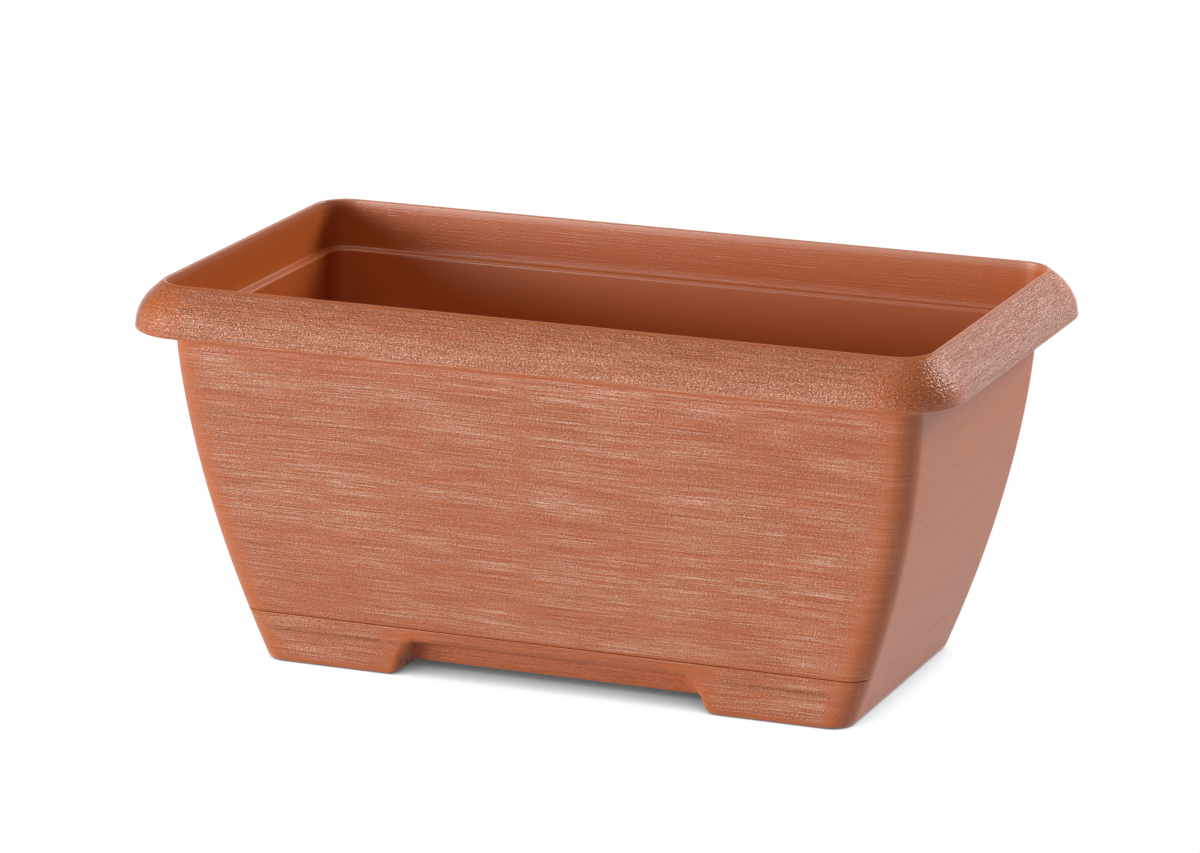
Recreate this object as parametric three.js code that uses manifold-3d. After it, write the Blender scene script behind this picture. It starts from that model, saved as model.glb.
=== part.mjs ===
// A moulded window box planter: an open flared box with a hollow rolled rim, standing in a
// saucer that carries the flare of its walls on down to the ground.
// Millimetres. X runs along the planter, Y across it from front to back, Z up.
// The origin is on the ground, under the middle of the planter.
import * as THREE from 'three';
import { mergeVertices } from 'three/addons/utils/BufferGeometryUtils.js';
import Module from 'manifold-3d';

const wasm = await Module();
wasm.setup();

// ---------------------------------------------------------------- driving dimensions

// Overall, measured over the rim
const rimLength = 400;
const rimDepth = 220;
const height = 182;
const rimCorner = 29.6; // plan radius of the rim's outer corners

// Section of the rim, from its outer face inwards
const lipHeight = 22; // from the lip's lower edge up to the crest
const lipEdge = 0.8; // rounding of the lip's lower edge
const rimWidth = 14.9; // from the lip's outer face in to the mouth
const rimTurn = 9; // how far below the crest the rim starts to curl over
const crestRound = 0.9; // rounding of the crest into the mouth
const shoulder = 18.6; // from the lip's outer face back to the wall under the rim

// The walls below the rim
const endFlare = 36.5; // how far each end leans out between the ground and the lip
const endBow = 1.77; // 1 is a straight wall, more is a bellied one
const faceFlare = 18.6; // the same lean of the front and the back
const faceBow = 1;

// Inside the mouth
const ledgeDrop = 23.4; // from the crest down to the ledge
const bandDraft = 1.4; // lean of the band between the ledge and the crest
const ledgeNose = 1.2; // rounding of the ledge's inner edge
const jogHeight = 3.6; // height over which the wall steps out behind the rim

// Mouldings
const boxWall = 2.4;
const saucerWall = 2.4;
const floorFillet = 3; // between the box's walls and its floor
const saucerFillet = 1.5; // the same inside the saucer

// The split between the box and its saucer
const saucerHeight = 24.2;
const fitGap = 0.3; // between the box and the saucer, wherever they meet

// The saucer's two long feet, and the recess between them at the front and at the back
const footEdge = 2; // rounding of the saucer's lower edge
const groundGap = 4.8; // height of the saucer's middle above the ground
const soleStart = 81.5; // from the centre to where a foot's flat sole starts
const soleRise = 7; // length over which the sole rises to the middle
const recessHalf = 74.5; // half width of the recess at the ground
const recessLean = 0.37; // how much each side of it leans in for each millimetre of height
const recessRound = 6; // plan radius of its corners: the recess is two of them deep
const recessCeiling = 16.6; // height of its ceiling
const ceilingRound = 4; // height of the curves above and below the ceiling

// Legs under the box, which stand on the saucer's floor inside its feet
const legEnd = 30; // from the inside of the saucer's end wall to a leg's centre
const legSide = 28; // from the inside of the saucer's front or back wall
const legSpan = 16;
const legRib = 2.4;

// Drain holes in the box's floor
const drainDiameter = 8;
const drainColumns = 4;
const drainSides = 20;

// Fineness of the curves
const cornerSteps = 6;
const sideSteps = 4;
const ceilingSteps = 4;
const wallSteps = 8;
const rimSteps = 7;
const edgeSteps = 3;

// ---------------------------------------------------------------- worked-out sizes

const lipZ = height - lipHeight;
const ledgeZ = height - ledgeDrop;
const bodyCorner = rimCorner - shoulder; // plan radius of the walls' corners
const nestInset = saucerWall + fitGap; // from the outer wall in to the box's foot
const underZ = recessCeiling + nestInset; // underside of the box's floor
const floorZ = underZ + boxWall;
const splitZ = saucerHeight + fitGap; // lower edge of the box's outer wall
const bandInset = rimWidth + bandDraft; // mouth's face where it meets the ledge

// How far the walls stand in from the lip's outer face, at one height
const flareLeft = (z) => Math.max(0, 1 - z / lipZ);
const endInset = (z) => shoulder + endFlare * flareLeft(z) ** endBow;
const faceInset = (z) => shoulder + faceFlare * flareLeft(z) ** faceBow;

const quarter = Math.PI / 2;
const shares = (count) => Array.from({ length: count + 1 }, (_, step) => step / count);

// How far the middle of a rounded edge stands back from the sharp one, for each millimetre
// of its radius
const roundBack = 1 - Math.SQRT1_2;

// A radius drawn in by an inset, down to an eighth of itself
const drawnIn = (radius, inset) => Math.max(radius - inset, radius / 8);

// ---------------------------------------------------------------- rings and skins

// A quarter circle in plan, counterclockwise from its starting angle
function cornerArc(centreX, centreY, radius, start) {
  return shares(cornerSteps).map((t) => {
    const angle = start + t * quarter;
    return [centreX + radius * Math.cos(angle), centreY + radius * Math.sin(angle)];
  });
}

// A ring is given by its front half, from the left end to the right: the back mirrors it
const mirrored = (front) => [...front, ...front.map(([x, y, z]) => [x, -y, z]).reverse()];

// A rounded rectangle, set in from the lip's outer face by its own amount at the ends and
// at the front and back
function levelRing(inEnd, inFace, radius, z) {
  const x = rimLength / 2 - inEnd - radius;
  const y = rimDepth / 2 - inFace - radius;
  const front = [
    ...cornerArc(-x, -y, radius, 2 * quarter),
    ...cornerArc(x, -y, radius, 3 * quarter),
  ];
  return mirrored(front.map(([px, py]) => [px, py, z]));
}

// A ring in the rim: the lip's plan outline drawn in evenly
const rimRing = (inset, z) => levelRing(inset, inset, rimCorner - inset, z);

// A ring on the flared wall, drawn in by a wall, a clearance or a fillet
function wallRing(inset, z) {
  return levelRing(endInset(z) + inset, faceInset(z) + inset, drawnIn(bodyCorner, inset), z);
}

// One closed skin through rings of equal length, which run from the middle of the underside
// outwards, up, over and back in. Strips from front to back close its two ends.
function closedSkin(rings) {
  const size = rings[0].length;
  const index = [];
  const quad = (a, b, c, d) => index.push(a, b, c, a, c, d);
  for (let ring = 0; ring + 1 < rings.length; ring += 1) {
    const here = ring * size;
    for (let point = 0; point < size; point += 1) {
      const next = (point + 1) % size;
      quad(here + point, here + next, here + size + next, here + size + point);
    }
  }
  const top = (rings.length - 1) * size;
  for (let point = 0; point + 1 < size / 2; point += 1) {
    const across = size - 1 - point;
    quad(across, across - 1, point + 1, point);
    quad(top + point, top + point + 1, top + across - 1, top + across);
  }
  const geometry = new THREE.BufferGeometry();
  geometry.setAttribute('position', new THREE.Float32BufferAttribute(rings.flat(2), 3));
  geometry.setIndex(index);
  return geometry;
}

// ---------------------------------------------------------------- cutting and joining

function toSolid(geometry) {
  const bare = geometry.clone();
  bare.deleteAttribute('normal');
  bare.deleteAttribute('uv');
  const merged = mergeVertices(bare, 1e-4);
  const vertProperties = new Float32Array(merged.attributes.position.array);
  const triVerts = new Uint32Array(merged.index.array);
  return new wasm.Manifold(new wasm.Mesh({ numProp: 3, vertProperties, triVerts }));
}

function toGeometry(solid) {
  const mesh = solid.getMesh();
  const geometry = new THREE.BufferGeometry();
  geometry.setAttribute('position', new THREE.BufferAttribute(mesh.vertProperties, 3));
  geometry.setIndex(new THREE.BufferAttribute(mesh.triVerts, 1));
  return geometry;
}

// ---------------------------------------------------------------- the saucer

// The wall curls under at the recess's ceiling and down again behind it, in two quarter
// ellipses. Drawn in by a wall, the first shrinks and the second grows, as offsets do.
const curlRound = (inset) => drawnIn(ceilingRound, inset);
const curlReach = (inset) => drawnIn(recessRound, inset);

// How far the recess has sunk in at one height, out of its full depth of two radii
function recessShare(z, inset) {
  const ceiling = recessCeiling + inset;
  const share = curlReach(inset) / (2 * recessRound);
  if (z >= ceiling) {
    const rise = Math.min(1, (z - ceiling) / curlRound(inset));
    return share * (1 - Math.sqrt(1 - (1 - rise) ** 2));
  }
  const drop = Math.min(1, (ceiling - z) / (ceilingRound + inset));
  return share + (1 - share) * Math.sqrt(1 - (1 - drop) ** 2);
}

// One side of the recess in plan, from the face in to the recessed wall: a rounded-out
// corner and a rounded-in one
function recessSide(z, inset) {
  const half = recessHalf - recessLean * z;
  const outer = curlReach(inset);
  const inner = 2 * recessRound - outer;
  const turn = shares(sideSteps).map((t) => t * quarter);
  return [
    ...turn.map((a) => [half + recessRound - outer * Math.sin(a), outer * (1 - Math.cos(a))]),
    ...turn.slice(1).map((a) => [
      half - recessRound + inner * Math.cos(a),
      outer + inner * Math.sin(a),
    ]),
  ];
}

// Height of the sole: nought under a foot, and the ground gap between the feet
function soleAt(x) {
  const rise = THREE.MathUtils.clamp((soleStart - Math.abs(x)) / soleRise, 0, 1);
  return groundGap * (1 - Math.sqrt(1 - rise * rise));
}

// A ring of the saucer. Its height is counted from the sole, and evens out to a level one
// by the time the recess reaches its full depth.
function saucerRing(inset, level) {
  const evenZ = recessCeiling - ceilingRound;
  const heightAt = (x) => level + soleAt(x) * Math.max(0, 1 - level / evenZ);
  const outline = wallRing(inset, level);
  const frontEnd = outline.slice(cornerSteps + 1, 2 * cornerSteps + 2);
  const faceY = frontEnd[0][1];
  const share = recessShare(level, inset);
  const side = recessSide(level, inset).reverse();
  const rightHalf = [
    ...side.map(([x, sunk]) => [x, faceY + sunk * share]),
    [(side[side.length - 1][0] + soleStart) / 2, faceY],
    [soleStart, faceY],
    ...frontEnd,
  ];
  const leftHalf = rightHalf.map(([x, y]) => [-x, y]).reverse();
  return mirrored([...leftHalf, ...rightHalf].map(([x, y]) => [x, y, heightAt(x)]));
}

// Heights at which the curl of the recess turns evenly
function curlLevels(inset) {
  const ceiling = recessCeiling + inset;
  const turns = shares(ceilingSteps).map((t) => t * quarter);
  return [
    ...turns.map((turn) => ceiling - (ceilingRound + inset) * Math.cos(turn)),
    ...turns.slice(1).map((turn) => ceiling + curlRound(inset) * Math.sin(turn)),
  ];
}

function makeSaucer() {
  const outside = [
    ...shares(edgeSteps).map((t) => {
      const turn = t * quarter;
      return saucerRing(footEdge * (1 - Math.sin(turn)), footEdge * (1 - Math.cos(turn)));
    }),
    ...curlLevels(0).map((z) => saucerRing(0, z)),
    saucerRing(0, saucerHeight),
  ];
  const within = [
    saucerRing(saucerWall, saucerHeight),
    ...curlLevels(saucerWall).reverse().map((z) => saucerRing(saucerWall, z)),
    ...shares(edgeSteps).map((t) => {
      const turn = t * quarter;
      const inset = saucerWall + saucerFillet * (1 - Math.cos(turn));
      return saucerRing(inset, saucerWall + saucerFillet * (1 - Math.sin(turn)));
    }),
  ];
  return closedSkin([...outside, ...within]);
}

// ---------------------------------------------------------------- the planter box

// The rim's outer curve, in section: inset from the lip's face, and height. It runs from
// the lip's lower edge up to where it touches the half round of the crest.
const crestCentre = new THREE.Vector2(rimWidth - crestRound, height - crestRound);
const rimShoulder = new THREE.Vector2(0, height - rimTurn);
const toCrest = crestCentre.clone().sub(rimShoulder);
const crestStart = toCrest.angle() + Math.asin(crestRound / toCrest.length()) + quarter;
const onCrest = (angle) => [
  crestCentre.x + crestRound * Math.cos(angle),
  crestCentre.y + crestRound * Math.sin(angle),
];
const rimCurve = new THREE.QuadraticBezierCurve(
  new THREE.Vector2(0, lipZ + lipEdge),
  rimShoulder,
  new THREE.Vector2(...onCrest(crestStart)),
);

// A point of the rim's under surface, one wall in from the outer curve
function underRim(t) {
  const point = rimCurve.getPoint(t);
  const along = rimCurve.getTangent(t);
  return [point.x + boxWall * along.y, point.y - boxWall * along.x];
}

// Back of the band that stands behind the mouth, at one height
function bandBack(z) {
  return rimWidth + (bandDraft * (height - z)) / ledgeDrop - boxWall;
}

// Share of the curve at which its under surface meets the back of the band
function roofShare() {
  let [low, high] = [0, 1];
  while (high - low > 1e-4) {
    const middle = (low + high) / 2;
    const [inset, z] = underRim(middle);
    if (inset < bandBack(z)) low = middle;
    else high = middle;
  }
  return low;
}

// From the underside's edge up the outer wall, over the rim, and down the inside to the floor
function boxRings() {
  const roof = roofShare();
  const jogZ = ledgeZ - boxWall - jogHeight / 2; // where the wall starts to step out
  const foot = shares(edgeSteps).map((t) => {
    const turn = (1 - t) * quarter;
    const inset = nestInset + curlReach(nestInset) * (1 - Math.cos(turn));
    return wallRing(inset, underZ + curlRound(nestInset) * (1 - Math.sin(turn)));
  });
  const wallHeights = shares(wallSteps).map((t) => splitZ + (jogZ - splitZ) * t);
  const lip = [
    [boxWall, lipZ + lipEdge],
    [boxWall - lipEdge * roundBack, lipZ],
    [lipEdge, lipZ],
    [lipEdge * roundBack, lipZ + lipEdge * roundBack],
  ];
  const rim = [
    [bandBack(jogZ + jogHeight), jogZ + jogHeight],
    ...shares(rimSteps).map((t) => underRim(roof * (1 - t))).slice(0, -1),
    ...lip,
    ...shares(rimSteps).map((t) => rimCurve.getPoint(t).toArray()),
    ...shares(edgeSteps).map((t) => onCrest(quarter * (1 - t))),
    [bandInset, ledgeZ],
  ];
  const innerTop = ledgeZ - ledgeNose;
  const innerFoot = nestInset + boxWall; // the wall inside the box's foot
  const stepZ = splitZ + boxWall;
  const innerHeights = shares(wallSteps).map((t) => innerTop + (stepZ + innerFoot - innerTop) * t);
  return [
    ...foot,
    wallRing(nestInset, splitZ),
    ...wallHeights.map((z) => wallRing(0, z)),
    ...rim.map(([inset, z]) => rimRing(inset, z)),
    wallRing(boxWall - ledgeNose, ledgeZ),
    wallRing(boxWall - ledgeNose * roundBack, ledgeZ - ledgeNose * roundBack),
    ...innerHeights.map((z) => wallRing(boxWall, z)),
    wallRing(innerFoot, stepZ + boxWall),
    ...shares(edgeSteps).map((t) => {
      const turn = t * quarter;
      const inset = innerFoot + floorFillet * (1 - Math.cos(turn));
      return wallRing(inset, floorZ + floorFillet * (1 - Math.sin(turn)));
    }),
  ];
}

// Where the legs stand, from the saucer's inside walls at its floor
const legX = rimLength / 2 - endInset(saucerWall) - saucerWall - legEnd;
const legY = rimDepth / 2 - faceInset(saucerWall) - saucerWall - legSide;

// A leg is two crossed ribs, rooted in the box's floor
function legSolids() {
  const footZ = saucerWall + fitGap;
  const rise = underZ + boxWall / 2 - footZ;
  const ribs = [];
  for (const x of [-legX, legX]) {
    for (const y of [-legY, legY]) {
      for (const [width, depth] of [[legSpan, legRib], [legRib, legSpan]]) {
        const rib = new THREE.BoxGeometry(width, depth, rise);
        rib.translate(x, y, footZ + rise / 2);
        ribs.push(toSolid(rib));
      }
    }
  }
  return ribs;
}

// Drain holes in two rows, spread evenly between the legs
function drainSolids() {
  const pitch = (2 * legX) / drainColumns;
  const radius = drainDiameter / 2;
  const holes = [];
  for (const y of [-legY / 2, legY / 2]) {
    for (let column = 0; column < drainColumns; column += 1) {
      const hole = new THREE.CylinderGeometry(radius, radius, 3 * boxWall, drainSides);
      hole.rotateX(quarter);
      hole.translate((column + 0.5) * pitch - legX, y, underZ + boxWall / 2);
      holes.push(toSolid(hole));
    }
  }
  return holes;
}

function makePlanterBox() {
  let box = toSolid(closedSkin(boxRings()));
  for (const rib of legSolids()) box = box.add(rib);
  for (const hole of drainSolids()) box = box.subtract(hole);
  return toGeometry(box);
}

// ---------------------------------------------------------------- the planter

// Terracotta-coloured polypropylene, brushed on its outer faces
function terracotta() {
  return new THREE.MeshStandardMaterial({ color: 0xb86742, roughness: 0.55, metalness: 0 });
}

function part(name, geometry) {
  const mesh = new THREE.Mesh(geometry, terracotta());
  mesh.name = name;
  return mesh;
}

const planter = new THREE.Group();
planter.add(part('saucer', makeSaucer()));
planter.add(part('planter_box', makePlanterBox()));

export default planter;
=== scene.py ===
# %% [markdown]
# # A window box planter in brushed terracotta plastic
#
# The real object is two injection mouldings. The box is an open flared trough with a rolled
# rim, and the saucer under it carries the flare of its walls on down to the ground. This
# lesson builds both as dense lofted skins, cuts the brushed grain of the mould into them,
# mixes their plastic, and lights them in a white studio.

# %% Load the imported model and bake its placement into its meshes
import math
import bmesh
import bpy
import numpy as np
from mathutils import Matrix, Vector


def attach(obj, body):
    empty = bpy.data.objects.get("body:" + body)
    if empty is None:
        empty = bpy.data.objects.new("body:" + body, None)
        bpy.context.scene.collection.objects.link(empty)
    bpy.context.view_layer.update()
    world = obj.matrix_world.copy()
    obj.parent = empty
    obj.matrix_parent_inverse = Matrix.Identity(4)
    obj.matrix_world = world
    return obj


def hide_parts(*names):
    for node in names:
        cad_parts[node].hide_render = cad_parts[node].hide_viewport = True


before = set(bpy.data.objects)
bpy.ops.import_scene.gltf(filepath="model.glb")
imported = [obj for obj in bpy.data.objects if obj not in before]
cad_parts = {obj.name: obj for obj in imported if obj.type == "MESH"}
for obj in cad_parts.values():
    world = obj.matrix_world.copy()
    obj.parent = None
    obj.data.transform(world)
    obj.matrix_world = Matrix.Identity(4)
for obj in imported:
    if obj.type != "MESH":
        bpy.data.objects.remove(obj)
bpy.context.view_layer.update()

# %% [markdown]
# ## The planter's own sizes
#
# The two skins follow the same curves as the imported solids, so they need the same sizes.
# All are in millimetres. Heights count from the ground, and insets from the lip's outer
# face. Each height could have its own hand-drawn outline, but a formula for how far the
# walls stand in keeps every outline in line with the next.

# %% Sizes that both pieces share
RIM_LENGTH, RIM_DEPTH, HEIGHT = 400, 220, 182  # over all
RIM_CORNER = 29.6  # plan radius of the rim's corners
LIP_HEIGHT = 22  # from the lip's lower edge up to the crest
SHOULDER = 18.6  # from the lip's face back to the wall under the rim
END_FLARE, END_BOW = 36.5, 1.77  # how far an end wall leans in by the ground, and its bow
FACE_FLARE, FACE_BOW = 18.6, 1  # the same for the front and the back, which are straight
WALL = 2.4
SAUCER_HEIGHT, FIT_GAP = 24.2, 0.3  # and the gap between the saucer and the box

MM = 0.001
QUARTER = math.pi / 2
LIP_Z = HEIGHT - LIP_HEIGHT
BODY_CORNER = RIM_CORNER - SHOULDER
print("the lip's lower edge is", LIP_Z, "mm up, the wall's corners turn on", round(BODY_CORNER, 1))


# %% How far the walls stand in
def end_inset(z):
    """How far an end wall stands in from the lip's face at one height."""
    return SHOULDER + END_FLARE * max(0, 1 - z / LIP_Z) ** END_BOW


def face_inset(z):
    """The same for the front and the back."""
    return SHOULDER + FACE_FLARE * max(0, 1 - z / LIP_Z) ** FACE_BOW


def drawn_in(radius, inset):
    """A corner's radius once the wall is drawn in, never down to nothing."""
    return max(radius - inset, radius / 8)


print("at the ground an end stands in", round(end_inset(0), 1), "and a face", round(face_inset(0), 1))

# %% [markdown]
# ## Rings
#
# A lofted skin is a stack of closed rings with the same number of points, so that each
# point has a neighbour above and below it. Plain boxes with bevels would need far fewer
# points, but here the grain is real relief. Its strokes run with the wall, so a point every
# 3 or 4 millimetres is enough that way, while the rings have to lie closer together than
# a stroke is wide.

# %% Points round a corner and along a side
CORNER_STEPS, FACE_STEPS, END_STEPS = 12, 100, 46


def steps(count):
    """Even shares from 0 to 1."""
    return np.linspace(0, 1, count + 1)


def corner(x, y, radius, start):
    """A quarter circle in plan."""
    angle = start + steps(CORNER_STEPS) * QUARTER
    return np.stack([x + radius * np.cos(angle), y + radius * np.sin(angle)], 1)


def between(start, end, count):
    """Points strictly between two others."""
    return start + (end - start) * steps(count)[1:-1, None]


print("points lie", (RIM_LENGTH - 2 * RIM_CORNER) / FACE_STEPS, "mm apart along the front of the rim")


# %% A rounded rectangle
def outline(in_end, in_face, radius):
    """A ring in plan, counterclockwise from the left end."""
    x = RIM_LENGTH / 2 - in_end - radius
    y = RIM_DEPTH / 2 - in_face - radius
    arcs = [
        corner(-x, -y, radius, 2 * QUARTER),
        corner(x, -y, radius, 3 * QUARTER),
        corner(x, y, radius, 0),
        corner(-x, y, radius, QUARTER),
    ]
    pieces = []
    for turn, arc in enumerate(arcs):
        following = arcs[(turn + 1) % 4]
        pieces += [arc, between(arc[-1], following[0], (FACE_STEPS, END_STEPS)[turn % 2])]
    return np.concatenate(pieces)


print("points in a ring:", len(outline(0, 0, RIM_CORNER)))


# %% Rings of the rim and of the wall
def level(plan, z):
    """A ring in plan, set at one height."""
    return np.column_stack([plan, np.full(len(plan), float(z))])


def rim_ring(inset, z):
    """A ring in the rim: the lip's outline drawn in evenly."""
    return level(outline(inset, inset, RIM_CORNER - inset), z)


def wall_ring(inset, z):
    """A ring on the flared wall."""
    plan = outline(end_inset(z) + inset, face_inset(z) + inset, drawn_in(BODY_CORNER, inset))
    return level(plan, z)


print("under the lip the walls reach", wall_ring(0, LIP_Z).max(0).round(1))

# %% [markdown]
# ## Grain
#
# The mould was brushed before it was hardened, so the outside of both mouldings carries
# long shallow strokes. They run with the wall, waver a little, and fade out at the rounded
# corners. An image could be stamped on, but strokes made from layers of stretched random
# bumps never repeat and can be cut to any depth.

# %% Stretched random bumps
ROUND_TRIP = 1130.0  # once round the planter
RISE_SPAN = 240.0  # along the section, from the sole to past the crest


def bumps(run, rise, long, thin, seed):
    """Smooth random heights from 0 to 1, in cells long by thin millimetres."""
    columns = max(2, round(ROUND_TRIP / long))
    rows = int(RISE_SPAN / thin) + 2
    lattice = np.random.default_rng(seed).random((rows, columns))
    across = run / ROUND_TRIP * columns
    up = np.clip(rise / thin, 0, rows - 1.001)
    column, row = np.floor(across).astype(int), np.floor(up).astype(int)
    s, t = across - column, up - row
    s, t = s * s * (3 - 2 * s), t * t * (3 - 2 * t)
    left, right = column % columns, (column + 1) % columns
    low = lattice[row, left] * (1 - s) + lattice[row, right] * s
    high = lattice[row + 1, left] * (1 - s) + lattice[row + 1, right] * s
    return low * (1 - t) + high * t


def layered(run, along, layers):
    """Layers of bumps, each by its share."""
    return sum(share * bumps(run, along, *cells) for share, *cells in layers)


print("five bumps in a row:", bumps(np.arange(0, 50, 10.0), np.full(5, 9.0), 10, 1, 0).round(2))

# %% Strokes on the walls, and how they waver
# each layer: its share, the length and the width of its cells in millimetres, its seed
WALL_LAYERS = (0.55, 34, 1.5, 13), (0.33, 56, 2.4, 14), (0.12, 80, 6, 15)
WAVER_LAYERS = (2.0, 110, 60, 11), (0.4, 40, 12, 12)  # here the share is a reach in millimetres


def flow(run, rise):
    """Height along the section, bent a little, so that strokes laid along it waver."""
    bent = rise
    for reach, *cells in WAVER_LAYERS:
        bent = bent + reach * (bumps(run, rise, *cells) - 0.5)
    return bent


def strokes(run, along):
    """The brushed relief of a wall, from 0 in a groove to 1 on a ridge."""
    return np.clip(layered(run, along, WALL_LAYERS), 0, 1)


print("the finest strokes on the walls are", WALL_LAYERS[0][1], "by", WALL_LAYERS[0][2], "mm")

# %% [markdown]
# ### The rim's own grain
#
# The rim was worked more roughly than the walls: its strokes are shorter and deeper, and its
# corners, where no brush could run straight, look hammered. It could have the walls' grain
# at a greater depth, but then its strokes would be too long. So it gets layers of its own.

# %% Relief of the rim
RIM_LAYERS = (0.6, 14, 1.5, 23), (0.4, 26, 2.4, 24)
HAMMER_CELLS = 3.2, 1.8, 25
BRUSH_SHARE, HAMMER_SHARE = 0.7, 0.3


def smooth(low, high, value):
    """0 below low, 1 above high, and a soft step between."""
    share = np.clip((value - low) / (high - low), 0, 1)
    return share * share * (3 - 2 * share)


def rim_relief(run, along, flat):
    """The rim's relief: brushed where it is flat, with only the hammered grain at its corners."""
    brushing = layered(run, along, RIM_LAYERS)
    hammered = bumps(run, along, *HAMMER_CELLS)
    return BRUSH_SHARE * (flat * brushing + (1 - flat) * 0.5) + HAMMER_SHARE * hammered


WALL_CUT, RIM_CUT = 0.15, 0.32  # how deep the grain is cut
print("a stroke is cut up to", WALL_CUT, "mm deep on the walls and", RIM_CUT, "on the rim")

# %% [markdown]
# ## Skins
#
# Each skin is an array of rings. To cut the grain, every point has to know how far round the
# planter and how far along the section it lies, and which way the surface faces there. The
# mesh could be built first and asked, but the array of rings gives all three by taking
# differences between neighbours.


# %% Where each point lies
def run_of(plan, seam):
    """How far round the planter each point of a ring lies, counted from one of its points."""
    hops = np.linalg.norm(np.roll(plan, -1, 0) - plan, axis=1)
    run = np.concatenate([[0], np.cumsum(hops)])
    return (run[:-1] - run[seam]) % run[-1] * ROUND_TRIP / run[-1]


def sections(rings):
    """How far along the section each ring lies, in millimetres."""
    hops = np.linalg.norm(np.diff(rings, axis=0), axis=2).mean(1)
    return np.concatenate([[0], np.cumsum(hops)])


def outward(rings):
    """Unit normals of a stack of rings."""
    round_it = np.roll(rings, -1, 1) - np.roll(rings, 1, 1)
    along_it = np.gradient(rings, axis=0)
    normal = np.cross(round_it, along_it)
    return normal / np.maximum(np.linalg.norm(normal, axis=2, keepdims=True), 1e-9)


two_walls = np.array([wall_ring(0, LIP_Z - 10), wall_ring(0, LIP_Z)])
print("10 mm of height is", sections(two_walls)[1].round(2), "mm of wall")
print("the middle of the front faces", outward(two_walls)[0, CORNER_STEPS + FACE_STEPS // 2].round(2))

# %% [markdown]
# ### Coats
#
# Not every ring is finished in the same way: the outside is brushed and painted pale, partly
# as rub and partly as painted sheen, the rim is hammered too, the crest and the ledge carry
# painted highlights, and the inside is nearly plain. Each part could be a material of its own,
# but then there would be a hard line between them. So every ring gets a coat, a few numbers
# that may fade from ring to ring.


# %% Coats, and how they calm at a corner
def coat(wall=0, rim=0, rub_and_sheen=0, faint=0, painted_highlight=0):
    """How much wall grain, rim grain, pale rub and painted sheen, faint brushing and painted highlight
    a ring has.
    """
    return (wall, rim, rub_and_sheen, faint, painted_highlight)


CALM_ZONE = 6  # how far from a rounded corner the strokes fade
RAGGED, RAGGED_CELLS = 7, (60, 1.6, 31)  # how unevenly they end there


def away_from(run, corners):
    """How far each point lies from the nearest rounded corner, in millimetres."""
    away = np.full(len(run), ROUND_TRIP)
    for place in run[corners]:
        gap = np.abs(run - place)
        away = np.minimum(away, np.minimum(gap, ROUND_TRIP - gap))
    return away


def flatness(run, along, away):
    """0 on a rounded corner and 1 clear of it, with a ragged edge that follows the strokes."""
    ragged = RAGGED * (bumps(run, along, *RAGGED_CELLS) - 0.5)
    return smooth(0, CALM_ZONE, np.where(away > 0, away + ragged, 0))


def kept(least, share):
    """All of something at a share of 1, and the least of it at a share of 0."""
    return least + (1 - least) * share


print("a wall's coat:", coat(wall=1, rub_and_sheen=1))

# %% [markdown]
# ### Cutting the grain
#
# The grain is cut along the surface's own normals and always inwards, so the skin never
# grows past the real size. A displacement modifier could do it with a weight for each coat,
# but numpy cuts all of them in one pass. What the finish has to know later is kept as
# numbers on the points.

# %% Cut the grain into a stack of rings
# A rounded corner keeps little of the pale streaks, which are rub and painted sheen, so it shows
# darker.
CORNER_CUT, CORNER_BRUSH, CORNER_RUB_AND_SHEEN = 0.3, 0.4, 0.35  # how much of each a corner keeps
END_CALM = 0.88  # how much of the brushing, the rub and the painted sheen the end walls lack
LOW_CALM, PALE_RISE = 0.2, (25, 95)  # how much less pale the walls are low down, between two heights


def brushed(rings, run, away, coats, unshaded=1):
    """Cuts the grain. Gives the points, and for each point the numbers that the finish reads."""
    shape = rings.shape[:2]
    run = np.broadcast_to(run, shape)
    along = flow(run, np.broadcast_to(sections(rings)[:, None], shape))
    wall, rim, rub_and_sheen, faint, painted_highlight = (part[:, None] for part in np.array(coats, float).T)
    flat = flatness(run, along, away)
    depth = wall * kept(CORNER_CUT, flat) * WALL_CUT * (1 - strokes(run, along))
    depth = depth + rim * RIM_CUT * (1 - rim_relief(run, along, flat))
    normal = outward(rings)
    on_end = wall * normal[..., 0] ** 2
    low_down = wall * (1 - smooth(*PALE_RISE, rings[..., 2]))
    rub_and_sheen = rub_and_sheen * unshaded * (1 - END_CALM * on_end) * (1 - LOW_CALM * low_down)
    numbers = {
        "run": run,
        "along": along,
        "brushed": (wall * (1 - END_CALM * on_end) + rim + faint) * kept(CORNER_BRUSH, flat),
        "rubbed_and_sheen": rub_and_sheen * kept(CORNER_RUB_AND_SHEEN, flat),
        "hammered": np.broadcast_to(rim, shape),
        "worked": np.broadcast_to(wall + rim, shape),
        "painted_highlights": np.broadcast_to(painted_highlight, shape),
    }
    return rings - normal * depth[..., None], numbers


print("an end wall keeps", round(1 - END_CALM, 2), "of the rub that the front has")

# %% [markdown]
# ### From rings to a mesh
#
# Blender can bridge loops of edges pair by pair, but here every point is known already. So
# the faces are listed directly, four points at a time, and the numbers go onto the points as
# attributes.

# %% Make a skin
SHARP_ANGLE = 50  # edges that turn more than this stay sharp, in degrees


def grid_faces(ring_count, size):
    """Four-sided faces between neighbouring rings."""
    ring, point = np.meshgrid(np.arange(ring_count - 1), np.arange(size), indexing="ij")
    here, beside = ring * size + point, ring * size + (point + 1) % size
    return np.stack([here, beside, beside + size, here + size], -1).reshape(-1, 4)


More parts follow.
